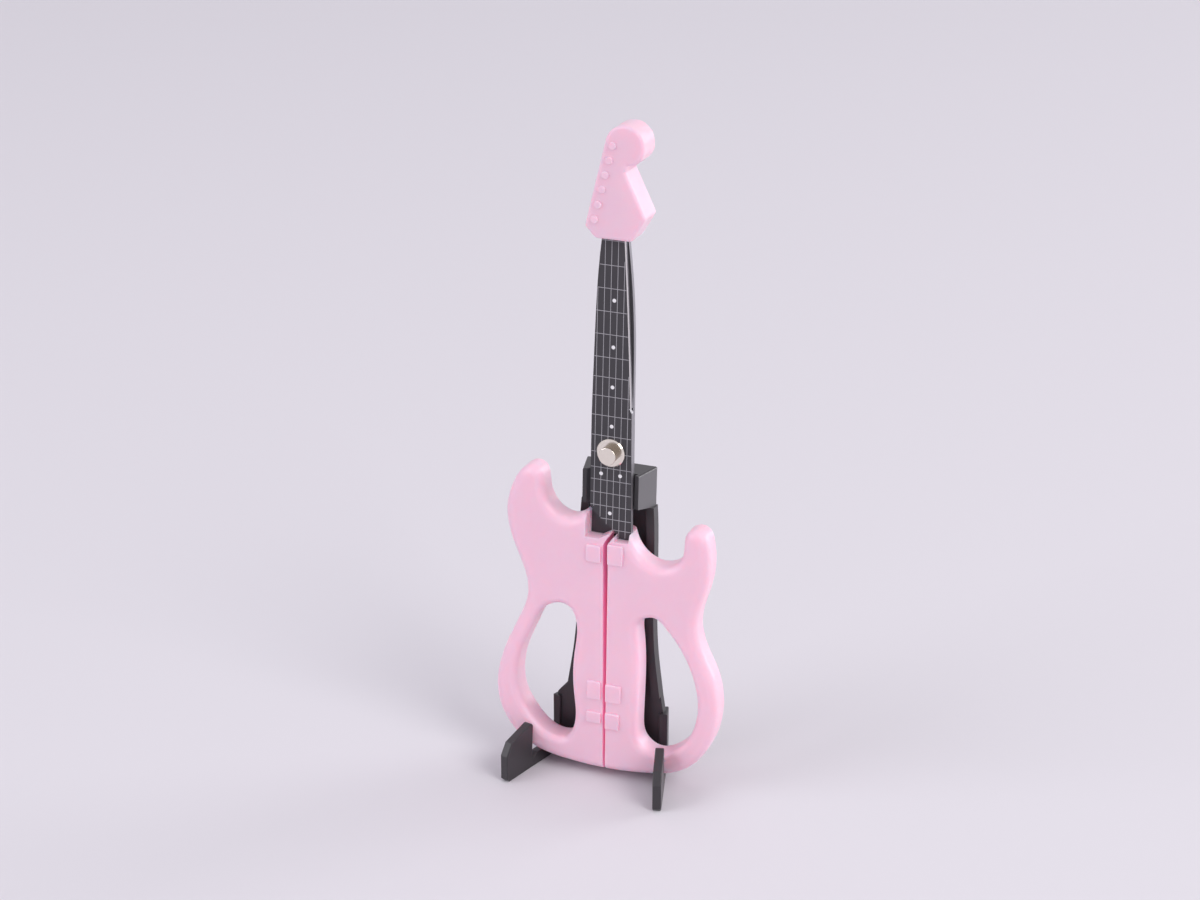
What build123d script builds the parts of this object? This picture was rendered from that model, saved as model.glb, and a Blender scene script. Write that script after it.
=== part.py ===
"""Guitar-shaped scissors standing in a small black display stand.

Units are millimetres.  The floor is Z = 0, the front faces -Y and +X is to the viewer's right.
The scissors are drawn in their own leaning plane: u runs right, v runs up the neck and w runs
out of the front, all measured from the pivot on the plane where the two blades meet.
"""
import os
from math import cos, radians, sin, sqrt

from build123d import *

os.makedirs("parts", exist_ok=True)

# where the scissors stand
LEAN = 3.0                 # degrees the neck leans back
SCISSORS_X = -0.572
FOOT_Y = 1.063             # lowest point of the body, halfway through its thickness
FOOT_Z = 2.43

# blades
BLADE_T = 1.5
BLADE_GAP = 0.03
PIVOT_HOLE = 4.06
SHANK_D = 4.0
WASHER_D = 8.2
WASHER_T = 0.8
BUTTON_D = 5.0
BUTTON_H = 2.6
BUTTON_EASE = 0.2
NUT_D = 7.0
NUT_T = 1.6
EDGE_GRIND = 0.3           # ground strip along the cutting edges

# handles
BODY_T = 9.0
BODY_ROUND = 2.6
HOLE_ROUND = 2.0
PAD_RISE = 0.6
PAD_EASE = 0.25
BOTTOM_R = 96.5            # the right handle's foot is an arc about the pivot
WAIST = 45.0               # pivot to the waist
SLIT_FOOT = 0.6            # gap between the handles at the foot
SLIT_NECK = 1.55           # and at the neck
SLIT_EASE = 0.3

# blade cap
CAP_T = 9.3
CAP_EASE = 0.9
CAP_FIT = 0.12             # clearance round the blades in the cap
TUNER_D = 2.1
TUNER_RISE = 0.5
TUNER_EASE = 0.2

# stand
REST_X = -1.17             # middle of the neck rest and the frame
ARMS_X = -2.42             # middle between the arms
REST_TOP = -6.4
REST_FOOT_FRONT = -16.4    # underside at the ears
REST_FOOT_BACK = -18.4     # underside at the back
REST_FRONT_HALF = 8.3
REST_BACK_HALF = 10.6
REST_FRONT = -0.15
REST_BACK = -9.6
CHANNEL_FLOOR = -1.6
CHANNEL_HALF = 6.95
MOUTH_EASE = 0.15          # the channel's mouth past its floor, each side
EAR_T = REST_FRONT_HALF - CHANNEL_HALF - MOUTH_EASE
REST_EASE = 0.5
PANEL_T = 2.2
LEG_W = 2.4
LEG_D = 3.4                # depth of a frame leg, back panel included
FRAME_TOP = -17.8
ARM_T = 2.5
ARM_SPLAY = 15.75
ARM_HALF = 24.4            # outer half width at the front of the feet
ARM_EASE = 0.35
HOOK_L = 12.2              # front of the foot to the inside of the hook
HOOK_TOP = 14.26
HOOK_GAP = 0.43            # hook to the front of the body
SEAT_ROOM = 3.6            # what the seat is longer than the body is thick
SEAT_GAP = 0.35            # seat to the underside of the body
SHOULDER_L = 6.4
SHOULDER_TOP = 17.5

lean_s, lean_c = sin(radians(LEAN)), cos(radians(LEAN))
PIVOT = (SCISSORS_X, FOOT_Y + BOTTOM_R * lean_s, FOOT_Z + BOTTOM_R * lean_c)
guitar = Plane(origin=PIVOT, x_dir=(1, 0, 0), z_dir=(0, -lean_c, lean_s))
front_axis = Axis(guitar.origin, guitar.z_dir)
half_t = BODY_T / 2


def at(u, v, w):
    """World point of a place given in the scissors' own plane."""
    return (PIVOT[0] + u, PIVOT[1] + v * lean_s - w * lean_c, PIVOT[2] + v * lean_c + w * lean_s)


def loop(share):
    """Height of a point that lies this share of the way from the waist down to the foot."""
    return -WAIST - share * (BOTTOM_R - WAIST)


# edge of the whole body, from the neck round the long horn, the foot and the short horn
FOOT = [(u, -sqrt(BOTTOM_R**2 - u**2)) for u in (-1.0, 4.5, 9.5, 14.5, 19.0)]
OUTLINE = [
    (-5.4, -14.0), (-7.4, -18.6), (-10.6, -20.5), (-14.8, -19.7), (-17.8, -16.6), (-19.0, -13.0),
    (-19.4, -9.9), (-20.5, -7.5), (-22.8, -6.6), (-25.2, -7.6), (-28.7, -12.9), (-30.4, -20.4),
    (-28.6, -29.6), (-25.4, -37.2), (-23.8, -45.0), (-26.0, loop(0.148)), (-30.0, loop(0.326)),
    (-32.6, loop(0.497)), (-32.6, loop(0.668)), (-28.8, loop(0.827)), (-22.0, loop(0.936)),
    (-11.6, loop(0.986)), *FOOT, (26.0, loop(0.897)), (31.2, loop(0.769)), (33.8, loop(0.61)),
    (34.0, loop(0.466)), (32.2, loop(0.326)), (28.7, loop(0.183)), (27.0, loop(0.035)), (28.6, -38.9),
    (30.3, -31.0), (29.8, -23.0), (28.4, -19.6), (25.9, -18.5), (23.4, -19.6), (22.5, -22.6),
    (22.0, -27.0), (19.4, -29.9), (15.4, -31.0), (11.2, -29.7), (8.2, -26.6), (6.6, -22.4), (5.9, -14.0),
]
LEFT_HOLE = [
    (-14.4, loop(0.039)), (-18.6, loop(0.083)), (-22.2, loop(0.21)), (-25.4, loop(0.365)),
    (-26.7, loop(0.513)), (-25.6, loop(0.641)), (-21.8, loop(0.757)), (-16.4, loop(0.843)),
    (-11.4, loop(0.843)), (-8.9, loop(0.757)), (-9.2, loop(0.563)), (-9.3, loop(0.33)),
    (-8.9, loop(0.128)), (-10.8, loop(0.054)),
]
RIGHT_HOLE = [
    (13.2, loop(0.035)), (10.0, loop(0.076)), (9.8, loop(0.194)), (10.4, loop(0.408)), (10.2, loop(0.68)),
    (11.2, loop(0.796)), (15.2, loop(0.85)), (20.8, loop(0.816)), (25.6, loop(0.718)),
    (28.1, loop(0.536)), (26.6, loop(0.357)), (22.6, loop(0.194)), (17.4, loop(0.07)),
]
# the two sides of the slit between the handles, foot first
slit_foot = -BOTTOM_R - 2.5
SLIT_LEFT = [
    (0.95 - SLIT_FOOT / 2, slit_foot), (0.8 - SLIT_NECK, -26.6), (0.4, -24.3), (2.44, -22.0), (2.44, -2.0),
]
SLIT_RIGHT = [
    (0.95 + SLIT_FOOT / 2, slit_foot), (0.8, -25.9), (2.3, -23.8), (3.2, -23.0), (3.2, -2.0),
]

NECK_POCKET_TOP = -18.3
BOSS_TOP = -23.0
# raised squares on the handles: left u, right u, bottom v, top v
LEFT_PADS = [
    (-5.6, -1.2, -32.0, -26.9), (-4.6, -0.4, loop(0.567), loop(0.458)),
    (-4.6, -0.2, loop(0.711), loop(0.645)),
]
RIGHT_PADS = [
    (0.5, 5.3, -32.0, -26.0), (0.7, 5.6, loop(0.571), loop(0.465)), (0.7, 5.2, loop(0.734), loop(0.64)),
]
TUNERS = [(-0.3, 87.4), (-1.2, 83.4), (-2.2, 79.3), (-3.1, 75.2), (-4.1, 71.0), (-5.0, 66.9)]

# blades, from the tip down: each has a spine and a cutting edge that ends in a small relief notch
EDGE = [(2.9, 60.3), (4.18, 40.7), (5.54, 13.6)]
FRONT_SPINE = [
    (0.7, 83.5), (-0.6, 79.0), (-2.7, 69.5), (-4.04, 60.0), (-5.0, 47.0), (-5.42, 34.0), (-5.7, 22.0),
    (-5.92, 10.0),
]
REAR_SPINE = [
    (-0.7, 83.5), (0.3, 79.0), (1.9, 69.5), (3.24, 60.0), (4.6, 47.0), (5.34, 34.0), (5.54, 22.0),
    (5.64, 10.5),
]
REAR_EDGE = [(-u, v) for u, v in EDGE]

with BuildPart() as rear_blade:
    with BuildSketch(guitar.offset(-BLADE_T)):
        with BuildLine():
            Spline(*REAR_SPINE)
            Line(REAR_SPINE[0], REAR_EDGE[0])
            ThreePointArc(*REAR_EDGE)
            Polyline(REAR_EDGE[-1], (-5.0, 13.6), (-5.6, 12.2), (-5.9, -24.9), (-5.4, -25.6), (-5.4, -40.0),
                     (-2.4, -40.0), (-2.4, -25.0), (1.6, -22.6), (6.0, -17.0), REAR_SPINE[-1])
        make_face()
        Circle(PIVOT_HOLE / 2, mode=Mode.SUBTRACT)
    extrude(amount=BLADE_T)
    back_face = faces().sort_by(front_axis)[0]
    chamfer(back_face.edges().sort_by_distance(Vector(*at(*REAR_EDGE[1], -BLADE_T)))[0], EDGE_GRIND)
rear_blade.part.label = "rear_blade"
export_step(rear_blade.part, "parts/rear_blade.step")

with BuildPart() as front_blade:
    with BuildSketch(guitar.offset(BLADE_GAP)):
        with BuildLine():
            Spline(*FRONT_SPINE)
            Line(FRONT_SPINE[0], EDGE[0])
            ThreePointArc(*EDGE)
            Polyline(EDGE[-1], (5.0, 13.6), (5.75, 12.2), (5.93, 1.3), (6.18, -8.4), (6.43, -23.7),
                     (6.2, -25.0),
                     (5.8, -25.4), (5.8, -40.0), (2.8, -40.0), (2.8, -25.0), (1.0, -22.8), (-2.7, -19.8),
                     (-5.92, -16.7), FRONT_SPINE[-1])
        make_face()
        Circle(PIVOT_HOLE / 2, mode=Mode.SUBTRACT)
    extrude(amount=BLADE_T)
    front_face = faces().sort_by(front_axis)[-1]
    chamfer(front_face.edges().sort_by_distance(Vector(*at(*EDGE[1], BLADE_GAP + BLADE_T)))[0], EDGE_GRIND)
front_blade.part.label = "front_blade"
export_step(front_blade.part, "parts/front_blade.step")

# pivot: a button-headed screw through a flange washer and both blades into a round nut
head_w = BLADE_GAP + BLADE_T + 0.02 + WASHER_T
with BuildPart() as pivot_screw:
    with BuildSketch(guitar.offset(-BLADE_T - NUT_T)):
        Circle(SHANK_D / 2)
    extrude(amount=BLADE_T + NUT_T + head_w)
    with BuildSketch(guitar.offset(head_w)):
        Circle(BUTTON_D / 2)
    extrude(amount=BUTTON_H)
    fillet(faces().sort_by(front_axis)[-1].edges(), BUTTON_EASE)
pivot_screw.part.label = "pivot_screw"
export_step(pivot_screw.part, "parts/pivot_screw.step")

with BuildPart() as pivot_washer:
    with BuildSketch(guitar.offset(head_w - WASHER_T)):
        Circle(WASHER_D / 2)
        Circle(PIVOT_HOLE / 2, mode=Mode.SUBTRACT)
    extrude(amount=WASHER_T)
    chamfer(faces().sort_by(front_axis)[-1].edges().sort_by(SortBy.RADIUS)[-1], 0.35)
pivot_washer.part.label = "pivot_washer"
export_step(pivot_washer.part, "parts/pivot_washer.step")

with BuildPart() as pivot_nut:
    with BuildSketch(guitar.offset(-BLADE_T - NUT_T)):
        Circle(NUT_D / 2)
        Circle(SHANK_D / 2, mode=Mode.SUBTRACT)
    extrude(amount=NUT_T)
    chamfer(faces().sort_by(front_axis)[0].edges().sort_by(SortBy.RADIUS)[-1], 0.4)
pivot_nut.part.label = "pivot_nut"
export_step(pivot_nut.part, "parts/pivot_nut.step")

# the whole guitar body, rounded all round, before it is slit into two handles
with BuildPart() as body:
    with BuildSketch(guitar.offset(-half_t)):
        with BuildLine():
            Spline(*OUTLINE)
            Line(OUTLINE[-1], OUTLINE[0])
        make_face()
        with BuildLine():
            Spline(*LEFT_HOLE, periodic=True)
        make_face(mode=Mode.SUBTRACT)
        with BuildLine():
            Spline(*RIGHT_HOLE, periodic=True)
        make_face(mode=Mode.SUBTRACT)
    extrude(amount=BODY_T)
    flats = [faces().sort_by(front_axis)[i] for i in (0, -1)]
    outer = [f.outer_wire().edges().filter_by(GeomType.LINE, reverse=True) for f in flats]
    fillet(outer[0] + outer[1], BODY_ROUND)
    flats = [faces().filter_by(GeomType.PLANE).sort_by(front_axis)[i] for i in (0, -1)]
    fillet([e for f in flats for w in f.inner_wires() for e in w.edges()], HOLE_ROUND)

# left handle: everything left of the slit, with a pocket for the neck and a slot for the rear tang
with BuildPart() as left_handle:
    add(body.part)
    with BuildSketch(guitar.offset(-half_t - 1)):
        with BuildLine():
            Polyline(*SLIT_LEFT, (50.0, -2.0), (50.0, slit_foot), SLIT_LEFT[0])
        make_face()
    extrude(amount=BODY_T + 2, mode=Mode.SUBTRACT)
    fillet(edges().sort_by_distance(Vector(*at(0.0, -WAIST - 15, half_t)))[0], SLIT_EASE)
    with BuildSketch(guitar.offset(-half_t - 1)):
        with Locations((-5.0, NECK_POCKET_TOP + 10)):
            Rectangle(20.0, 20.0)
    extrude(amount=BODY_T + 2, mode=Mode.SUBTRACT)
    with BuildSketch(guitar):
        with BuildLine():
            Polyline((-6.15, -10.0), (-6.15, -24.9), (-2.2, -24.9), (0.75, -23.1), (2.6, -25.5), (6.0, -25.5),
                     (6.0, -10.0), (-6.15, -10.0))
        make_face()
    extrude(amount=half_t + 1, mode=Mode.SUBTRACT)
    add(rear_blade.part, mode=Mode.SUBTRACT)
    with BuildSketch(guitar.offset(half_t)):
        for u0, u1, v0, v1 in LEFT_PADS:
            with Locations(((u0 + u1) / 2, (v0 + v1) / 2)):
                RectangleRounded(u1 - u0, v1 - v0, 0.5)
    extrude(amount=PAD_RISE)
    pad_tops = faces().filter_by(GeomType.PLANE).group_by(front_axis)[-1]
    fillet(pad_tops.edges(), PAD_EASE)
left_handle.part.label = "left_handle"
export_step(left_handle.part, "parts/left_handle.step")

# right handle: everything right of the slit, with a notch over the front tang
with BuildPart() as right_handle:
    add(body.part)
    with BuildSketch(guitar.offset(half_t)):
        for u0, u1, v0, v1 in RIGHT_PADS:
            with Locations(((u0 + u1) / 2, (v0 + v1) / 2)):
                RectangleRounded(u1 - u0, v1 - v0, 0.5)
    extrude(amount=PAD_RISE)
    pad_tops = faces().filter_by(GeomType.PLANE).group_by(front_axis)[-1]
    fillet(pad_tops.edges(), PAD_EASE)
    with BuildSketch(guitar.offset(-half_t - 1)):
        with BuildLine():
            Polyline(*SLIT_RIGHT, (-50.0, -2.0), (-50.0, slit_foot), SLIT_RIGHT[0])
        make_face()
    extrude(amount=BODY_T + 2, mode=Mode.SUBTRACT)
    with BuildSketch(guitar.offset(-half_t - 1)):
        with Locations((5.0, BOSS_TOP + 10)):
            Rectangle(20.0, 20.0)
    extrude(amount=BODY_T + 2, mode=Mode.SUBTRACT)
    with BuildSketch(guitar):
        with BuildLine():
            Polyline((2.45, -20.0), (2.45, -25.2), (6.5, -25.2), (6.5, -20.0), (2.45, -20.0))
        make_face()
    extrude(amount=half_t + 1, mode=Mode.SUBTRACT)
    add(front_blade.part, mode=Mode.SUBTRACT)
right_handle.part.label = "right_handle"
export_step(right_handle.part, "parts/right_handle.step")

# blade cap: a headstock-shaped sheath, open at the mouth and slit down its left side
with BuildPart() as blade_cap:
    with BuildSketch(guitar.offset(-CAP_T / 2)):
        with BuildLine():
            Polyline((9.4, 68.4), (5.5, 61.6), (-5.0, 61.6), (-7.9, 64.8), (-2.6, 88.4))
            ThreePointArc((-2.6, 88.4), (3.4, 93.0), (8.4, 87.4))
            ThreePointArc((8.4, 87.4), (7.2, 83.6), (3.9, 82.2))
            Polyline((3.9, 82.2), (3.4, 80.4), (9.4, 68.4))
        make_face()
        fillet(vertices().group_by(Axis.Y)[0:3], 1.4)
    extrude(amount=CAP_T)
    caps = [faces().sort_by(front_axis)[i].edges() for i in (0, -1)]
    fillet(caps[0] + caps[1], CAP_EASE)
    with BuildSketch(guitar.offset(-BLADE_T - CAP_FIT)):
        with BuildLine():
            Polyline((6.2, 55.0), (4.6, 61.0), (1.6, 79.0), (0.6, 84.4), (-1.4, 84.4), (-3.4, 61.0),
                     (-4.6, 55.0), (6.2, 55.0))
        make_face()
    extrude(amount=BLADE_T + CAP_FIT, mode=Mode.SUBTRACT)
    with BuildSketch(guitar.offset(0.0)):
        with BuildLine():
            Polyline((6.0, 55.0), (3.1, 61.0), (1.2, 84.4), (-12.0, 84.4), (-12.0, 55.0), (6.0, 55.0))
        make_face()
    extrude(amount=BLADE_GAP + BLADE_T + CAP_FIT, mode=Mode.SUBTRACT)
    with BuildSketch(guitar.offset(CAP_T / 2)):
        with Locations(*TUNERS):
            Circle(TUNER_D / 2)
    extrude(amount=TUNER_RISE)
    fillet(faces().filter_by(GeomType.PLANE).group_by(front_axis)[-1].edges(), TUNER_EASE)
blade_cap.part.label = "blade_cap"
export_step(blade_cap.part, "parts/blade_cap.step")

# stand: a channelled neck rest on a back frame, and two splayed arms ending in hooks
rest_u = REST_X - PIVOT[0]
blade_u = (REAR_EDGE[-1][0] + REAR_SPINE[-1][0]) / 2 - rest_u
rest_plane = Plane(origin=at(rest_u, REST_TOP, 0), x_dir=(1, 0, 0), z_dir=(0, -lean_s, -lean_c))
with BuildPart() as neck_rest:
    with BuildSketch(rest_plane):
        with BuildLine():
            Polyline((-REST_FRONT_HALF, REST_FRONT), (-REST_FRONT_HALF + EAR_T, REST_FRONT),
                     (blade_u - CHANNEL_HALF, CHANNEL_FLOOR), (blade_u + CHANNEL_HALF, CHANNEL_FLOOR),
                     (REST_FRONT_HALF - EAR_T, REST_FRONT), (REST_FRONT_HALF, REST_FRONT),
                     (REST_BACK_HALF, REST_BACK), (-REST_BACK_HALF, REST_BACK),
                     (-REST_FRONT_HALF, REST_FRONT))
        make_face()
    extrude(amount=REST_TOP - REST_FOOT_BACK + 1)
    under = Plane(origin=at(rest_u + 20, 0, 0), x_dir=(0, -lean_c, lean_s), z_dir=(-1, 0, 0))
    with BuildSketch(under):
        with BuildLine():
            Polyline((1.0, REST_FOOT_FRONT + 0.2), (REST_BACK - 1, REST_FOOT_BACK - 0.2),
                     (REST_BACK - 1, -30.0),
                     (1.0, -30.0), (1.0, REST_FOOT_FRONT + 0.2))
        make_face()
    extrude(amount=40.0, mode=Mode.SUBTRACT)
    down_axis = Axis(rest_plane.origin, rest_plane.z_dir)
    ear_ease = min(REST_EASE, 0.45 * EAR_T)
    fillet(edges().filter_by(down_axis).sort_by(front_axis)[0:2], ear_ease)
    fillet(faces().sort_by(down_axis)[0].edges().sort_by(front_axis)[0:5], ear_ease)
neck_rest.part.label = "neck_rest"
export_step(neck_rest.part, "parts/neck_rest.step")


shoulder = HOOK_L + BODY_T + SEAT_ROOM
seat_back = shoulder - SEAT_ROOM - 1.4


def arm_edge(seat):
    """Side profile of one arm, front of the foot at zero: rear shoulder, foot and hook.

    Args:
        seat: height of the seat under the body.

    Returns:
        The corners, from the inside of the hook's tip round to its top.
    """
    heel = shoulder + SHOULDER_L
    return [
        (HOOK_L, HOOK_TOP - 1.16), (HOOK_L - 0.6, seat - 1.0), (HOOK_L + 2.0, seat), (seat_back, seat),
        (shoulder, seat + 1.8), (shoulder, SHOULDER_TOP), (heel - 0.8, SHOULDER_TOP - 0.4),
        (heel, SHOULDER_TOP - 1.2), (heel, 0.0), (1.0, 0.0), (0.0, 1.0), (0.0, 0.59 * HOOK_TOP),
        (2.3, 0.834 * HOOK_TOP), (HOOK_L - 1.5, HOOK_TOP),
    ]


splay_s, splay_c = sin(radians(ARM_SPLAY)), cos(radians(ARM_SPLAY))
arm_front = FOOT_Y - half_t * lean_c + (HOOK_TOP - FOOT_Z) * lean_s - HOOK_GAP - HOOK_L * splay_c
# the seats lie close under the foot where each arm passes it
left_seat = FOOT_Z + (BOTTOM_R + loop(0.967)) * lean_c - SEAT_GAP
seat_u = ARMS_X + ARM_HALF - seat_back * splay_s - ARM_T / splay_c - PIVOT[0]
right_seat = FOOT_Z + (BOTTOM_R - sqrt(BOTTOM_R**2 - seat_u**2)) * lean_c - SEAT_GAP
left_plane = Plane(origin=(ARMS_X - ARM_HALF, arm_front, 0), x_dir=(splay_s, splay_c, 0),
                   z_dir=(splay_c, -splay_s, 0))
right_plane = Plane(origin=(ARMS_X + ARM_HALF, arm_front, 0), x_dir=(-splay_s, splay_c, 0),
                    z_dir=(splay_c, splay_s, 0))
with BuildPart() as left_arm:
    with BuildSketch(left_plane):
        with BuildLine():
            Polyline(*arm_edge(left_seat))
            ThreePointArc((HOOK_L - 1.5, HOOK_TOP), (HOOK_L - 0.3, HOOK_TOP - 0.37),
                          (HOOK_L, HOOK_TOP - 1.16))
        make_face()
    extrude(amount=ARM_T)
    sides = faces().sort_by(Axis(left_plane.origin, left_plane.z_dir))
    fillet(sides[0].edges() + sides[-1].edges(), ARM_EASE)
left_arm.part.label = "left_arm"
export_step(left_arm.part, "parts/left_arm.step")

with BuildPart() as right_arm:
    with BuildSketch(right_plane):
        with BuildLine():
            Polyline(*arm_edge(right_seat))
            ThreePointArc((HOOK_L - 1.5, HOOK_TOP), (HOOK_L - 0.3, HOOK_TOP - 0.37),
                          (HOOK_L, HOOK_TOP - 1.16))
        make_face()
    extrude(amount=-ARM_T)
    sides = faces().sort_by(Axis(right_plane.origin, right_plane.z_dir))
    fillet(sides[0].edges() + sides[-1].edges(), ARM_EASE)
right_arm.part.label = "right_arm"
export_step(right_arm.part, "parts/right_arm.step")

# back frame: a panel with a leg down each side, flaring to the arms below the body
frame_low = -BOTTOM_R + 20.5
arms_u = ARMS_X - PIVOT[0]
foot_half = ARM_HALF - 25.5 * splay_s - ARM_T / 2


def frame_side(half, side):
    """One side of the frame, from the rest down to its shoulder, as points to curve through."""
    drop = frame_low - FRAME_TOP
    flare = [(0.0, 0.0), (0.42, 0.6), (0.67, 1.0), (0.79, 1.6), (0.88, 2.3), (1.0, 3.3)]
    return [(rest_u + side * (half + out), FRAME_TOP + share * drop) for share, out in flare]


frame_half = REST_BACK_HALF + 0.2
with BuildPart() as back_frame:
    with BuildSketch(guitar.offset(REST_BACK)):
        with BuildLine():
            left = frame_side(frame_half, -1)
            right = frame_side(frame_half, 1)
            Spline(*left)
            Polyline(left[-1], (arms_u - foot_half, frame_low - 4.0), (arms_u - foot_half, slit_foot - 3.0),
                     (arms_u + foot_half, slit_foot - 3.0), (arms_u + foot_half, frame_low - 5.0), right[-1])
            Spline(*right)
            Line(left[0], right[0])
        make_face()
    extrude(amount=PANEL_T)
    for side in (-1, 1):
        with BuildSketch(guitar.offset(REST_BACK)):
            with BuildLine():
                outside = frame_side(frame_half, side)
                inside = frame_side(frame_half - LEG_W, side)
                Spline(*outside)
                Spline(*inside)
                Line(outside[0], inside[0])
                Line(outside[-1], inside[-1])
            make_face()
        extrude(amount=LEG_D)
    with Locations((0, 0, -25)):
        Box(120, 120, 50, mode=Mode.SUBTRACT)
    add(neck_rest.part, mode=Mode.SUBTRACT)
    add(left_arm.part, mode=Mode.SUBTRACT)
    add(right_arm.part, mode=Mode.SUBTRACT)
back_frame.part.label = "back_frame"
export_step(back_frame.part, "parts/back_frame.step")
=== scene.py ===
"""Looks of guitar-shaped scissors that lean in a small black stand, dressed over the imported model.

Pieces and finishes hold their sizes in millimetres, and meshes are made in metres.  The studio's places
are in metres.  The scissors have a leaning plane of their own: u runs right, v runs up the neck and w out
of the front, all from the blade pivot.
"""
from __future__ import annotations

import logging
import math
from dataclasses import dataclass
from enum import IntEnum
from typing import Any, Callable

import bmesh
import bpy
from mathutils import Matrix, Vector


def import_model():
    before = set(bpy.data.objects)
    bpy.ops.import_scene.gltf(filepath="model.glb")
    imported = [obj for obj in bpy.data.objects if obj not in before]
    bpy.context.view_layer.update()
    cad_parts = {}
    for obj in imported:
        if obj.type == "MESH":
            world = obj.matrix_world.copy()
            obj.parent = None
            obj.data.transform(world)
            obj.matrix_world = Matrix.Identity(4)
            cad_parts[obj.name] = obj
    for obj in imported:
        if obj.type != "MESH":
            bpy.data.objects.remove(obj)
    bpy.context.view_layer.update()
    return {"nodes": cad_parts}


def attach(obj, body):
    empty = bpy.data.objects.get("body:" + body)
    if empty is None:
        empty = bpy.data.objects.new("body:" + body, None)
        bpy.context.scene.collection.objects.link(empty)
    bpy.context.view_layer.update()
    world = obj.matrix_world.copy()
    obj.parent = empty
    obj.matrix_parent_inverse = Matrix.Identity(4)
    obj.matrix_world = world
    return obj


LOG = logging.getLogger("guitar_scissors")
MM = 0.001
# sockets of a Mix node that mixes colours, which share their names with its other sockets
MIX_SHARE, MIX_FIRST, MIX_SECOND, MIX_RESULT = 0, 6, 7, 2
# radians that a Wave texture turns through in one unit of its own scale
WAVE_RATE = 20.0

Corner = tuple[float, float]


class BladeFace(IntEnum):
    """The kinds of face on a blade, in the order of its materials."""

    FLAT = 0
    EDGE = 1
    SIDE = 2


def linear(hex_code: str) -> tuple[float, float, float, float]:
    """Turn an sRGB hex colour into linear light.

    Args:
        hex_code: colour such as "#EFB9D1".

    Returns:
        Red, green, blue and an alpha of 1.
    """
    parts = [int(hex_code[i:i + 2], 16) / 255 for i in (1, 3, 5)]
    red, green, blue = (c / 12.92 if c <= 0.04045 else ((c + 0.055) / 1.055) ** 2.4 for c in parts)
    return red, green, blue, 1.0


def add_node(
    tree: bpy.types.NodeTree, kind: str, settings: dict[str | int, Any] | None = None,
    links: dict[str | int, bpy.types.NodeSocket] | None = None,
) -> bpy.types.Node:
    """Add one shader node with its settings and links.

    Args:
        tree: the node tree to add to.
        kind: the node's type name.
        settings: values by attribute name, or by input name or number.
        links: output sockets by the input name or number that they feed.

    Returns:
        The new node.
    """
    node = tree.nodes.new(kind)
    for key, value in (settings or {}).items():
        if isinstance(key, str) and hasattr(node, key):
            setattr(node, key, value)
        else:
            node.inputs[key].default_value = value
    for key, socket in (links or {}).items():
        tree.links.new(socket, node.inputs[key])
    return node


def bare_material(name: str) -> bpy.types.Material:
    """Make a material with an empty node tree.

    Args:
        name: the material's name.

    Returns:
        The new material.
    """
    material = bpy.data.materials.new(name)
    material.use_nodes = True
    material.node_tree.nodes.clear()
    return material


@dataclass(frozen=True)
class Finish:
    """What every finish has: a name, a colour and how rough it is."""

    name: str
    colour: str
    roughness: float

    def material(self) -> bpy.types.Material:
        """Make the material, with the finish's own nodes around one principled shader.

        Returns:
            The new material.
        """
        material = bare_material(self.name)
        tree = material.node_tree
        shader = add_node(tree, "ShaderNodeBsdfPrincipled", {
            "Base Color": linear(self.colour), "Roughness": self.roughness,
        })
        add_node(tree, "ShaderNodeOutputMaterial", links={"Surface": shader.outputs["BSDF"]})
        place = add_node(tree, "ShaderNodeTexCoord")
        self.dress(tree, shader, place.outputs["Object"])
        return material

    def dress(
        self, tree: bpy.types.NodeTree, shader: bpy.types.Node, place: bpy.types.NodeSocket,
    ) -> None:
        """Add what the finish has beyond a plain colour.

        Args:
            tree: the material's node tree.
            shader: its principled shader.
            place: object coordinates, in metres.
        """
        raise NotImplementedError


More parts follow.
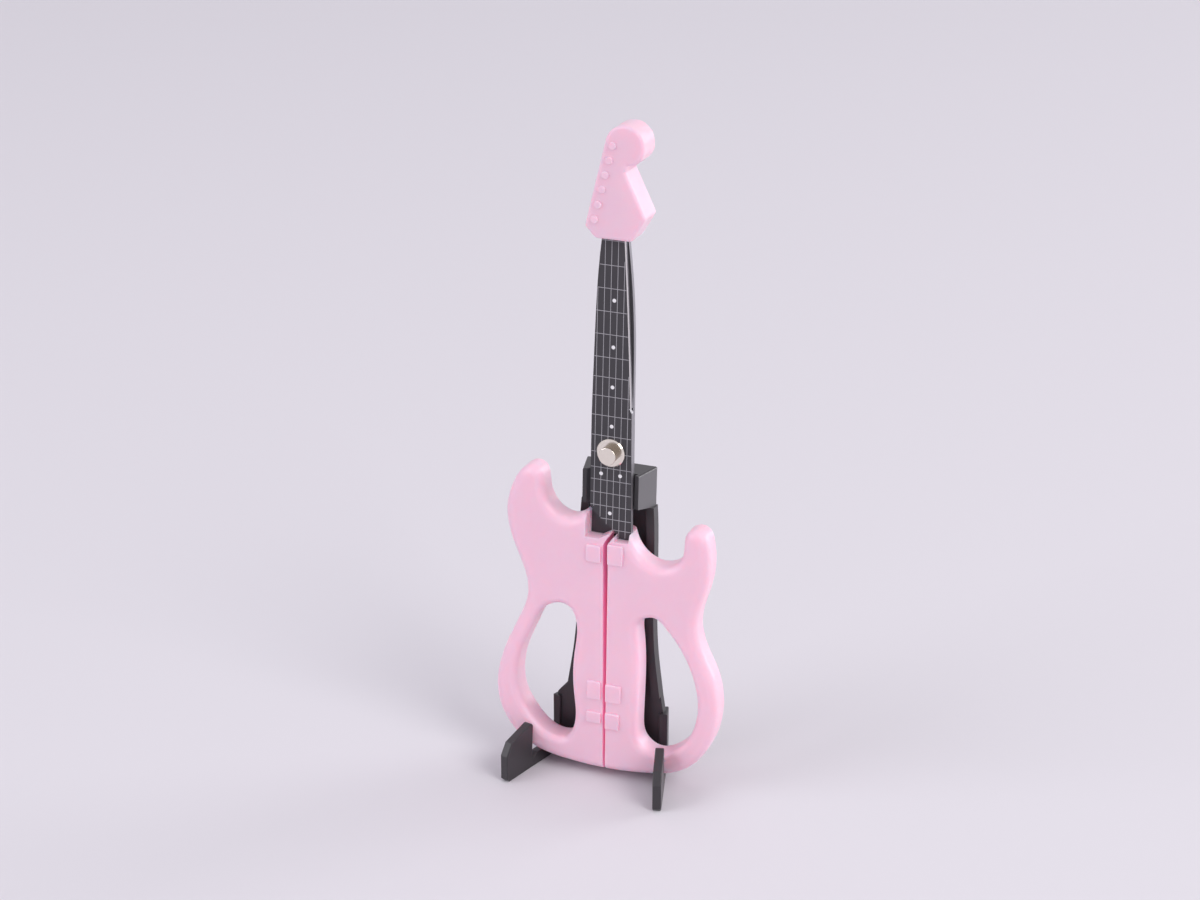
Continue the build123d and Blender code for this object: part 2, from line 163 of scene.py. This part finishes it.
@dataclass(frozen=True)
class MouldedAbs(Finish):
    """Glossy-satin ABS from a spark-eroded mould: a fine even grain and soft wide highlights.

    The grain is drawn coarser than a real one, so that it shows.  glow is the share of light that goes into
    the plastic, and depth_mm and through say how far each colour of it goes.  bloom is the pale look at a
    low angle, and painted_gap_glow a painted glow: emission in painted_glow_tint that grows where the surface
    is closed in.
    """

    grain_mm: float = 0.4
    grain_depth_mm: float = 0.012
    flow_mm: float = 22.0
    flow_tint: str = "#000000"
    spread: float = 0.06
    refraction: float = 1.54
    glow: float = 0.0
    depth_mm: float = 3.0
    through: tuple[float, float, float] = (1.0, 0.4, 0.45)
    bloom: float = 0.0
    bloom_roughness: float = 0.45
    painted_gap_glow: float = 0.0
    gap_mm: float = 3.0
    gap_samples: int = 8
    painted_glow_tint: str = "#F27BA2"

    def dress(
        self, tree: bpy.types.NodeTree, shader: bpy.types.Node, place: bpy.types.NodeSocket,
    ) -> None:
        """Add the mould grain, slow flow shading, a little light inside the plastic, the sheen and, where
        set, a painted glow in narrow gaps.

        Args:
            tree: the material's node tree.
            shader: its principled shader.
            place: object coordinates, in metres.
        """
        flow = add_node(tree, "ShaderNodeTexNoise", {
            "Scale": 1 / (self.flow_mm * MM), "Detail": 3.0, "Roughness": 0.55}, {"Vector": place})
        tint = add_node(tree, "ShaderNodeMix", {
            "data_type": "RGBA", MIX_FIRST: linear(self.colour), MIX_SECOND: linear(self.flow_tint)},
            {MIX_SHARE: flow.outputs["Fac"]})
        tree.links.new(tint.outputs[MIX_RESULT], shader.inputs["Base Color"])
        polish = add_node(tree, "ShaderNodeMapRange", {
            "To Min": self.roughness - self.spread, "To Max": self.roughness + self.spread},
            {"Value": flow.outputs["Fac"]})
        tree.links.new(polish.outputs["Result"], shader.inputs["Roughness"])
        grain = add_node(tree, "ShaderNodeTexNoise", {
            "Scale": 1 / (self.grain_mm * MM), "Detail": 2.0, "Roughness": 0.6}, {"Vector": place})
        bump = add_node(tree, "ShaderNodeBump", {
            "Strength": 1.0, "Distance": self.grain_depth_mm * MM}, {"Height": grain.outputs["Fac"]})
        tree.links.new(bump.outputs["Normal"], shader.inputs["Normal"])
        shader.inputs["IOR"].default_value = self.refraction
        shader.inputs["Sheen Weight"].default_value = self.bloom
        shader.inputs["Sheen Roughness"].default_value = self.bloom_roughness
        # painted glow: emission that grows where ambient occlusion finds the surface closed in
        if self.painted_gap_glow:
            open_sky = add_node(tree, "ShaderNodeAmbientOcclusion", {
                "samples": self.gap_samples, "Distance": self.gap_mm * MM})
            strength = add_node(tree, "ShaderNodeMapRange", {
                "To Min": self.painted_gap_glow, "To Max": 0.0}, {"Value": open_sky.outputs["AO"]})
            shader.inputs["Emission Color"].default_value = linear(self.painted_glow_tint)
            tree.links.new(strength.outputs["Result"], shader.inputs["Emission Strength"])
        if self.glow:
            shader.inputs["Subsurface Weight"].default_value = self.glow
            shader.inputs["Subsurface Radius"].default_value = self.through
            shader.inputs["Subsurface Scale"].default_value = self.depth_mm * MM


@dataclass(frozen=True)
class BrushedMetal(Finish):
    """Metal or its coating over a brushed surface: fine streaks along one line."""

    metallic: float = 1.0
    streak_mm: tuple[float, float, float] = (0.18, 0.18, 9.0)
    streak_depth_mm: float = 0.003
    spread: float = 0.07
    shade: str = "#000000"

    def dress(
        self, tree: bpy.types.NodeTree, shader: bpy.types.Node, place: bpy.types.NodeSocket,
    ) -> None:
        """Add streaks that change the colour, the roughness and the surface.

        Args:
            tree: the material's node tree.
            shader: its principled shader.
            place: object coordinates, in metres.
        """
        stretch = add_node(tree, "ShaderNodeMapping", {
            "Scale": tuple(1 / (size * MM) for size in self.streak_mm)}, {"Vector": place})
        streak = add_node(tree, "ShaderNodeTexNoise", {
            "Scale": 1.0, "Detail": 3.0, "Roughness": 0.6}, {"Vector": stretch.outputs["Vector"]})
        tint = add_node(tree, "ShaderNodeMix", {
            "data_type": "RGBA", MIX_FIRST: linear(self.shade), MIX_SECOND: linear(self.colour)},
            {MIX_SHARE: streak.outputs["Fac"]})
        tree.links.new(tint.outputs[MIX_RESULT], shader.inputs["Base Color"])
        polish = add_node(tree, "ShaderNodeMapRange", {
            "To Min": self.roughness - self.spread, "To Max": self.roughness + self.spread},
            {"Value": streak.outputs["Fac"]})
        tree.links.new(polish.outputs["Result"], shader.inputs["Roughness"])
        bump = add_node(tree, "ShaderNodeBump", {
            "Strength": 1.0, "Distance": self.streak_depth_mm * MM}, {"Height": streak.outputs["Fac"]})
        tree.links.new(bump.outputs["Normal"], shader.inputs["Normal"])
        shader.inputs["Metallic"].default_value = self.metallic


@dataclass(frozen=True)
class TurnedNickel(Finish):
    """Nickel plate over a turned part: warm mirror metal with faint rings about the pivot.

    The rings are drawn coarser than real turning marks, so that they show.
    """

    centre_mm: tuple[float, float, float] = (0.0, 0.0, 0.0)
    ring_mm: float = 1.38
    ring_depth_mm: float = 0.0012
    ring_smooth: float = 0.04
    ring_rough: float = 0.05
    cloud_mm: float = 1.1
    shade: str = "#000000"

    def dress(
        self, tree: bpy.types.NodeTree, shader: bpy.types.Node, place: bpy.types.NodeSocket,
    ) -> None:
        """Add the turning rings and a slight unevenness of the plate.

        Args:
            tree: the material's node tree.
            shader: its principled shader.
            place: object coordinates, in metres.
        """
        centre = add_node(tree, "ShaderNodeMapping", {
            "Location": tuple(-c * MM for c in self.centre_mm)}, {"Vector": place})
        rings = add_node(tree, "ShaderNodeTexWave", {
            "wave_type": "RINGS", "rings_direction": "Y",
            "Scale": 2 * math.pi / (WAVE_RATE * self.ring_mm * MM),
            "Distortion": 0.4, "Detail": 2.0, "Detail Scale": 3.0}, {"Vector": centre.outputs["Vector"]})
        cloud = add_node(tree, "ShaderNodeTexNoise", {
            "Scale": 1 / (self.cloud_mm * MM), "Detail": 3.0}, {"Vector": place})
        tint = add_node(tree, "ShaderNodeMix", {
            "data_type": "RGBA", MIX_FIRST: linear(self.shade), MIX_SECOND: linear(self.colour)},
            {MIX_SHARE: cloud.outputs["Fac"]})
        tree.links.new(tint.outputs[MIX_RESULT], shader.inputs["Base Color"])
        polish = add_node(tree, "ShaderNodeMapRange", {
            "To Min": self.roughness - self.ring_smooth, "To Max": self.roughness + self.ring_rough},
            {"Value": rings.outputs["Fac"]})
        tree.links.new(polish.outputs["Result"], shader.inputs["Roughness"])
        bump = add_node(tree, "ShaderNodeBump", {
            "Strength": 1.0, "Distance": self.ring_depth_mm * MM}, {"Height": rings.outputs["Fac"]})
        tree.links.new(bump.outputs["Normal"], shader.inputs["Normal"])
        shader.inputs["Metallic"].default_value = 1.0


@dataclass(frozen=True)
class PrintedInk(Finish):
    """Screen ink on the coated steel: a dry film, a little thin in places."""

    patch_mm: float = 0.5
    thin: str = "#000000"

    def dress(
        self, tree: bpy.types.NodeTree, shader: bpy.types.Node, place: bpy.types.NodeSocket,
    ) -> None:
        """Add the thin patches of the film.

        Args:
            tree: the material's node tree.
            shader: its principled shader.
            place: object coordinates, in metres.
        """
        patch = add_node(tree, "ShaderNodeTexNoise", {
            "Scale": 1 / (self.patch_mm * MM), "Detail": 2.0}, {"Vector": place})
        tint = add_node(tree, "ShaderNodeMix", {
            "data_type": "RGBA", MIX_FIRST: linear(self.thin), MIX_SECOND: linear(self.colour)},
            {MIX_SHARE: patch.outputs["Fac"]})
        tree.links.new(tint.outputs[MIX_RESULT], shader.inputs["Base Color"])


@dataclass(frozen=True)
class NeckPlane:
    """The leaning plane of the scissors, with its origin at the blade pivot."""

    pivot_mm: tuple[float, float, float] = (-0.572, 6.1134, 98.7978)
    lean_deg: float = 3.0

    def at(self, u: float, v: float, w: float) -> Vector:
        """World point, in metres, of a place given in this plane.

        Args:
            u: millimetres to the right.
            v: millimetres up the neck.
            w: millimetres out of the front.

        Returns:
            The point in the row frame.
        """
        s, c = math.sin(math.radians(self.lean_deg)), math.cos(math.radians(self.lean_deg))
        x, y, z = self.pivot_mm
        return Vector((x + u, y + v * s - w * c, z + v * c + w * s)) * MM

    @property
    def front(self) -> Vector:
        """Unit vector out of the front."""
        lean = math.radians(self.lean_deg)
        return Vector((0.0, -math.cos(lean), math.sin(lean)))


NECK = NeckPlane()

# ABS pink all through, so thin places glow a little deeper
PINK_ABS = MouldedAbs(
    "pink_moulded_abs", "#F6CFE0", 0.34, grain_mm=0.45, grain_depth_mm=0.006, flow_tint="#F3CADC", glow=0.9)
# the cap's own moulding, a shade duller than the handles
PINK_CAP_ABS = MouldedAbs(
    "pink_cap_abs", "#F1CEDE", 0.36, grain_mm=0.45, grain_depth_mm=0.007, flow_tint="#EEC9DA", glow=0.9)
# the same plastic on the walls of the narrow slit, in a deeper pink for painted shade and with a faint
# painted glow where the gap closes in, to match the photograph
PINK_SLIT_PAINTED_GLOW_ABS = MouldedAbs(
    "pink_slit_painted_glow_abs", "#FFA6C4", 0.4, grain_mm=0.45, grain_depth_mm=0.006, flow_tint="#FF9CBD", glow=1.0,
    depth_mm=20.0, through=(1.0, 0.46, 0.56), painted_gap_glow=0.12)
# black ABS with a deeper spark grain, dull except at a low angle
BLACK_ABS = MouldedAbs(
    "black_textured_abs", "#2B282C", 0.46, grain_mm=0.35, grain_depth_mm=0.016, flow_tint="#312E32",
    bloom=0.12)
# dark coat on ground blade steel, its streaks drawn coarser than real ones so that they show
COATED_STEEL = BrushedMetal(
    "dark_coated_blade_steel", "#434145", 0.42, metallic=0.25, streak_depth_mm=0.002, shade="#39373B")
# bare cutting edge, ground across
GROUND_STEEL = BrushedMetal(
    "ground_edge_steel", "#E2E0DF", 0.24, streak_mm=(2.0, 2.0, 0.12), streak_depth_mm=0.002, shade="#C9C7C7")
# stamped sides of the blades, taken to be bare and tumbled dull
STAMPED_STEEL = BrushedMetal(
    "stamped_side_steel", "#A5A3A8", 0.38, metallic=0.8, streak_mm=(0.3, 0.3, 2.5), streak_depth_mm=0.003,
    shade="#8B898F")
# the rest's outer faces, in a lighter copy of the black plastic with full sheen: painted light matched to the
# light grey that the photograph shows at a low angle
BLACK_ABS_PAINTED_SIDE_SHEEN = MouldedAbs(
    "black_abs_painted_side_sheen", "#36343A", 0.3, grain_mm=0.35, grain_depth_mm=0.006, flow_tint="#3D3B42", bloom=1.0)
# plated pivot, a warm mirror that takes the colour of the room
NICKEL = TurnedNickel("turned_nickel_plate", "#F3ECE2", 0.14, centre_mm=NECK.pivot_mm, shade="#E7DED3")
# the button's side, painted darker: a painted reflection matched to its darker reflections in the photograph
NICKEL_PAINTED_DARK_REFLECTION = TurnedNickel("nickel_painted_dark_reflection", "#A59A8C", 0.14, centre_mm=NECK.pivot_mm, shade="#8C8174")
# dry grey lines that the dark coat shows through a little
GREY_INK = PrintedInk("grey_line_ink", "#B0AEB3", 0.5, thin="#97959A")
# denser white ink, almost even
WHITE_INK = PrintedInk("white_dot_ink", "#F3F2F4", 0.45, thin="#E2E1E4")


def prism(mesh: bmesh.types.BMesh, outline: list[Corner], low_mm: float, high_mm: float) -> None:
    """Add a thin closed prism over an outline in the neck plane.

    Args:
        mesh: the mesh to add to.
        outline: corners as (u, v) in millimetres, in order.
        low_mm: w of the underside.
        high_mm: w of the top.
    """
    low = [mesh.verts.new(NECK.at(u, v, low_mm)) for u, v in outline]
    high = [mesh.verts.new(NECK.at(u, v, high_mm)) for u, v in outline]
    mesh.faces.new(high)
    mesh.faces.new(low[::-1])
    for i, _ in enumerate(outline):
        j = (i + 1) % len(outline)
        mesh.faces.new((low[i], low[j], high[j], high[i]))


def make_piece(
    name: str, fill: Callable[[bmesh.types.BMesh], None], finish: bpy.types.Material, body: str,
) -> bpy.types.Object:
    """Make a mesh piece, dress it and let it ride on a body.

    Args:
        name: the piece's name.
        fill: adds the piece's geometry to an empty mesh.
        finish: its material.
        body: the body it rides on.

    Returns:
        The new object.
    """
    work = bmesh.new()
    fill(work)
    bmesh.ops.recalc_face_normals(work, faces=work.faces)
    data = bpy.data.meshes.new(name)
    work.to_mesh(data)
    work.free()
    data.materials.append(finish)
    piece = bpy.data.objects.new(name, data)
    bpy.context.scene.collection.objects.link(piece)
    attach(piece, body)
    LOG.info("%s rides on %s", name, body)
    return piece


def dress_node(node: bpy.types.Object, *finishes: bpy.types.Material) -> None:
    """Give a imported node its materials.

    Args:
        node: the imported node's object.
        finishes: its materials, the main one first.
    """
    node.data.materials.clear()
    for finish in finishes:
        node.data.materials.append(finish)
    LOG.info("%s wears %s", node.name, ", ".join(finish.name for finish in finishes))


@dataclass
class Fingerboard:
    """Strings, frets and dots printed on the front blade's face, which ride on the blade's body."""

    body: str = "front_half"
    slot: str = "blade_coating"
    face_w: float = 1.53
    root: float = 0.004
    string_film: float = 0.012
    string_width: float = 0.16
    fret_film: float = 0.0096
    fret_width: float = 0.17
    dot_film: float = 0.0156
    dot_size: float = 1.1
    dot_sides: int = 40
    edge_margin: float = 0.1
    trim_step: float = 0.05
    strings_u: tuple[float, ...] = (-4.8, -2.87, -1.0, 0.88, 2.77, 4.64)
    string_ends: tuple[float, ...] = (-16.5, -19.4, -21.4, -23.4, -24.8, -24.8)
    string_top: float = 62.5
    frets_v: tuple[float, ...] = (
        60.6, 53.69, 47.17, 40.64, 34.1, 27.54, 21.79, 16.27, 10.61, 4.71, -0.16, -4.72, -8.33, -12.14,
        -15.96)
    tang_frets: tuple[Corner, ...] = ((-2.7, -19.78), (0.95, -22.8))
    dots: tuple[Corner, ...] = (
        (0.0, 43.9), (0.0, 30.6), (0.0, 19.1), (0.0, 7.7), (-2.8, -6.5), (2.8, -6.5), (0.0, -18.0))
    spine: tuple[Corner, ...] = (
        (-5.92, -17.0), (-5.92, 10.0), (-5.7, 22.0), (-5.42, 34.0), (-5.0, 47.0), (-4.04, 60.0), (-2.7, 69.5))
    edge: tuple[Corner, ...] = (
        (6.43, -25.0), (6.18, -8.4), (5.93, 1.3), (5.75, 12.2), (5.24, 13.7), (4.62, 27.2), (3.88, 40.7),
        (3.27, 50.5), (2.6, 60.3), (1.8, 69.0))

    @staticmethod
    def along(side: tuple[Corner, ...], v: float) -> float:
        """Place across the blade of one of its sides at a height.

        Args:
            side: the side's points as (u, v), lowest first.
            v: the height in millimetres.

        Returns:
            The side's u there, in millimetres.
        """
        for (u0, v0), (u1, v1) in zip(side, side[1:]):
            if v <= v1:
                return u0 + (u1 - u0) * (v - v0) / (v1 - v0)
        return side[-1][0]

    def left_edge(self, v: float) -> float:
        """Left end of the printed face at a height v, in millimetres."""
        return self.along(self.spine, v) + self.edge_margin

    def right_edge(self, v: float) -> float:
        """Right end of the printed face at a height v, in millimetres."""
        return self.along(self.edge, v) - self.edge_margin

    def fill_strings(self, mesh: bmesh.types.BMesh) -> None:
        """Add the string lines, each cut off where it meets a side of the blade.

        Args:
            mesh: the mesh to add to.
        """
        half = self.string_width / 2
        for u, end in zip(self.strings_u, self.string_ends):
            top = self.string_top
            while u - half < self.left_edge(top) or u + half > self.right_edge(top):
                top -= self.trim_step
            prism(mesh, [(u - half, end), (u + half, end), (u + half, top), (u - half, top)],
                  self.face_w - self.root, self.face_w + self.string_film)

    def fill_frets(self, mesh: bmesh.types.BMesh) -> None:
        """Add the fret lines across the face and down the tang.

        Args:
            mesh: the mesh to add to.
        """
        half = self.fret_width / 2
        starts = [(self.left_edge(v), v) for v in self.frets_v] + list(self.tang_frets)
        for left, v in starts:
            right = self.right_edge(v)
            prism(mesh, [(left, v - half), (right, v - half), (right, v + half), (left, v + half)],
                  self.face_w - self.root, self.face_w + self.fret_film)

    def fill_dots(self, mesh: bmesh.types.BMesh) -> None:
        """Add the round position dots.

        Args:
            mesh: the mesh to add to.
        """
        radius = self.dot_size / 2
        turns = [2 * math.pi * i / self.dot_sides for i in range(self.dot_sides)]
        for u, v in self.dots:
            prism(mesh, [(u + radius * math.cos(t), v + radius * math.sin(t)) for t in turns],
                  self.face_w - self.root, self.face_w + self.dot_film)

    def build(self) -> None:
        """Make the three prints."""
        grey, white = GREY_INK.material(), WHITE_INK.material()
        make_piece("string_print", self.fill_strings, grey, self.body)
        make_piece("fret_print", self.fill_frets, grey, self.body)
        make_piece("dot_print", self.fill_dots, white, self.body)


@dataclass
class Scissors:
    """The two halves, their pivot and the cap over the blades.

    A face's facing is how much of its normal lies along the front, from 0 on a side to 1 on a flat.  A face
    of a handle is a wall of the slit within slit_reach of the middle, where it looks straight across.
    """

    nodes: dict[str, bpy.types.Object]
    side_facing: float = 0.3
    flat_facing: float = 0.95
    slit_reach: float = 1.6
    slit_facing: float = 0.8

    @staticmethod
    def facing(face: bpy.types.MeshPolygon) -> float:
        """How much of a face's normal lies along the front, forward or back."""
        return abs(face.normal.dot(NECK.front))

    def dress_blades(self) -> None:
        """Coat the flats of both blades and leave their ground edges and stamped sides bare."""
        coat, ground, stamped = COATED_STEEL.material(), GROUND_STEEL.material(), STAMPED_STEEL.material()
        for name in ("front_blade", "rear_blade"):
            blade = self.nodes[name]
            dress_node(blade, coat, ground, stamped)
            for face in blade.data.polygons:
                facing = self.facing(face)
                if facing < self.side_facing:
                    face.material_index = BladeFace.SIDE
                elif facing < self.flat_facing:
                    face.material_index = BladeFace.EDGE
                else:
                    face.material_index = BladeFace.FLAT

    def dress_handles(self) -> None:
        """Give the handles and the cap their pink plastic, and the walls of the slit a copy with painted
        shade and a painted glow.
        """
        pink, slit, cap = PINK_ABS.material(), PINK_SLIT_PAINTED_GLOW_ABS.material(), PINK_CAP_ABS.material()
        for name, inward in (("left_handle", 1.0), ("right_handle", -1.0)):
            handle = self.nodes[name]
            dress_node(handle, pink, slit)
            for face in handle.data.polygons:
                beside = abs(face.center.x / MM - NECK.pivot_mm[0]) < self.slit_reach
                # the slit walls take the copy with painted shade and a painted glow
                face.material_index = int(beside and face.normal.x * inward > self.slit_facing)
        dress_node(self.nodes["blade_cap"], cap)

    def dress_pivot(self) -> None:
        """Plate the screw, the washer and the nut, with a painted dark reflection on the screw's sides."""
        nickel, painted_reflection = NICKEL.material(), NICKEL_PAINTED_DARK_REFLECTION.material()
        for name in ("pivot_washer", "pivot_nut"):
            dress_node(self.nodes[name], nickel)
        screw = self.nodes["pivot_screw"]
        dress_node(screw, nickel, painted_reflection)
        # the screw's side faces take the darker copy, a painted reflection
        for face in screw.data.polygons:
            face.material_index = int(self.facing(face) < self.side_facing)

    def build(self) -> None:
        """Dress every part of the scissors and print the fingerboard."""
        self.dress_blades()
        self.dress_handles()
        self.dress_pivot()
        Fingerboard().build()


@dataclass
class DisplayStand:
    """The black stand: neck rest, back frame and two hooked arms.

    A side face of the rest has more than side_facing of its normal to the left or right, and wears a lighter
    copy of the black plastic with full sheen, painted light.
    """

    nodes: dict[str, bpy.types.Object]
    side_facing: float = 0.8

    def build(self) -> None:
        """Dress every part of the stand."""
        black, painted_sheen = BLACK_ABS.material(), BLACK_ABS_PAINTED_SIDE_SHEEN.material()
        for name in ("back_frame", "left_arm", "right_arm"):
            dress_node(self.nodes[name], black)
        rest = self.nodes["neck_rest"]
        dress_node(rest, black, painted_sheen)
        # side faces take the lighter copy with full sheen, painted light
        for face in rest.data.polygons:
            face.material_index = int(abs(face.normal.x) > self.side_facing)


@dataclass(frozen=True)
class Lamp:
    """One soft box: where it hangs, what it points at, its size and its power."""

    name: str
    place: tuple[float, float, float]
    aim: tuple[float, float, float]
    size: float
    watts: float
    colour: str

    def build(self) -> None:
        """Hang the lamp."""
        data = bpy.data.lights.new(self.name, "AREA")
        data.shape = "DISK"
        data.size = self.size
        data.energy = self.watts
        data.color = linear(self.colour)[:3]
        lamp = bpy.data.objects.new(self.name, data)
        lamp.location = self.place
        lamp.rotation_euler = (Vector(self.aim) - Vector(self.place)).to_track_quat("-Z", "Y").to_euler()
        bpy.context.scene.collection.objects.link(lamp)


@dataclass
class Studio:
    """Pale floor, soft boxes and the camera at the photograph's angle."""

    floor_size: float = 8.0
    floor_colour: str = "#DFDCE2"
    sky_colour: str = "#E8E5ED"
    sky_strength: float = 0.62
    room_strength: float = 0.92
    fade_from: float = 0.8
    fade_to: float = 2.4
    camera_place: tuple[float, float, float] = (0.239528, -0.631387, 0.398698)
    camera_down_deg: float = 23.74
    camera_yaw_deg: float = 20.94
    focal_mm: float = 81.0
    sensor_mm: float = 36.0
    clip_near: float = 0.01
    clip_far: float = 50.0
    lamps: tuple[Lamp, ...] = (
        Lamp("key_box", (1.9, -0.9, 1.7), (0.0, 0.0, 0.09), 1.5, 28.0, "#FFFDFB"),
        Lamp("rim_box", (2.0, 1.9, 0.6), (0.0, 0.0, 0.1), 1.6, 34.0, "#FFFFFF"),
        Lamp("fill_box", (-1.9, -1.5, 1.4), (0.0, 0.0, 0.09), 1.9, 25.0, "#FBFAFF"),
        Lamp("top_box", (0.0, 0.4, 2.8), (0.0, 0.0, 0.0), 2.4, 8.5, "#FFFFFF"),
    )

    @staticmethod
    def seen(tree: bpy.types.NodeTree) -> bpy.types.NodeSocket:
        """Tell the rays that show the room from the rays that light the object.

        Args:
            tree: the node tree of the floor or the world.

        Returns:
            A socket with 1 for rays of the camera, of mirrors and of glass, and 0 for the others.
        """
        path = add_node(tree, "ShaderNodeLightPath")
        socket = path.outputs["Is Camera Ray"]
        for ray in ("Is Glossy Ray", "Is Transmission Ray"):
            socket = add_node(tree, "ShaderNodeMath", {"operation": "MAXIMUM"}, {
                0: socket, 1: path.outputs[ray]}).outputs["Value"]
        return socket

    def build_floor(self) -> None:
        """Lay a matt paper floor that fades into the room far from the object."""
        half = self.floor_size / 2
        square = [(-half, -half, 0), (half, -half, 0), (half, half, 0), (-half, half, 0)]
        data = bpy.data.meshes.new("floor")
        data.from_pydata(square, [], [(0, 1, 2, 3)])
        material = bare_material("studio_paper")
        tree = material.node_tree
        paper = add_node(tree, "ShaderNodeBsdfPrincipled", {
            "Base Color": linear(self.floor_colour), "Roughness": 0.8, "Specular IOR Level": 0.2})
        room = add_node(tree, "ShaderNodeEmission", {
            "Color": linear(self.sky_colour), "Strength": self.room_strength})
        place = add_node(tree, "ShaderNodeTexCoord")
        reach = add_node(tree, "ShaderNodeVectorMath", {"operation": "LENGTH"}, {0: place.outputs["Object"]})
        fade = add_node(tree, "ShaderNodeMapRange", {
            "interpolation_type": "SMOOTHSTEP", "From Min": self.fade_from, "From Max": self.fade_to},
            {"Value": reach.outputs["Value"]})
        share = add_node(tree, "ShaderNodeMath", {"operation": "MULTIPLY"}, {
            0: fade.outputs["Result"], 1: self.seen(tree)})
        mix = add_node(tree, "ShaderNodeMixShader", links={
            0: share.outputs["Value"], 1: paper.outputs["BSDF"], 2: room.outputs["Emission"]})
        add_node(tree, "ShaderNodeOutputMaterial", links={"Surface": mix.outputs["Shader"]})
        data.materials.append(material)
        floor = bpy.data.objects.new("floor", data)
        bpy.context.scene.collection.objects.link(floor)

    def build_sky(self) -> None:
        """Light the room evenly from all round."""
        world = bpy.data.worlds.new("studio_room")
        world.use_nodes = True
        bpy.context.scene.world = world
        tree = world.node_tree
        tree.nodes.clear()
        strength = add_node(tree, "ShaderNodeMapRange", {
            "To Min": self.sky_strength, "To Max": self.room_strength}, {"Value": self.seen(tree)})
        sky = add_node(tree, "ShaderNodeBackground", {"Color": linear(self.sky_colour)},
                       {"Strength": strength.outputs["Result"]})
        add_node(tree, "ShaderNodeOutputWorld", links={"Surface": sky.outputs["Background"]})

    def build_camera(self) -> None:
        """Place the camera where the photograph was taken from."""
        data = bpy.data.cameras.new("photo_camera")
        data.sensor_fit = "HORIZONTAL"
        data.sensor_width = self.sensor_mm
        data.lens = self.focal_mm
        data.clip_start = self.clip_near
        data.clip_end = self.clip_far
        camera = bpy.data.objects.new("photo_camera", data)
        camera.location = self.camera_place
        camera.rotation_euler = (
            math.radians(90 - self.camera_down_deg), 0.0, math.radians(self.camera_yaw_deg))
        bpy.context.scene.collection.objects.link(camera)
        bpy.context.scene.camera = camera

    def build(self) -> None:
        """Set up the whole studio."""
        self.build_floor()
        self.build_sky()
        for lamp in self.lamps:
            lamp.build()
        self.build_camera()
        bpy.context.scene.view_settings.view_transform = "Standard"


def main() -> None:
    """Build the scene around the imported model."""
    logging.basicConfig(level=logging.INFO, format="%(name)s: %(message)s")
    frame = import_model()
    Studio().build()
    Scissors(frame["nodes"]).build()
    DisplayStand(frame["nodes"]).build()


if __name__ == "__main__":
    main()
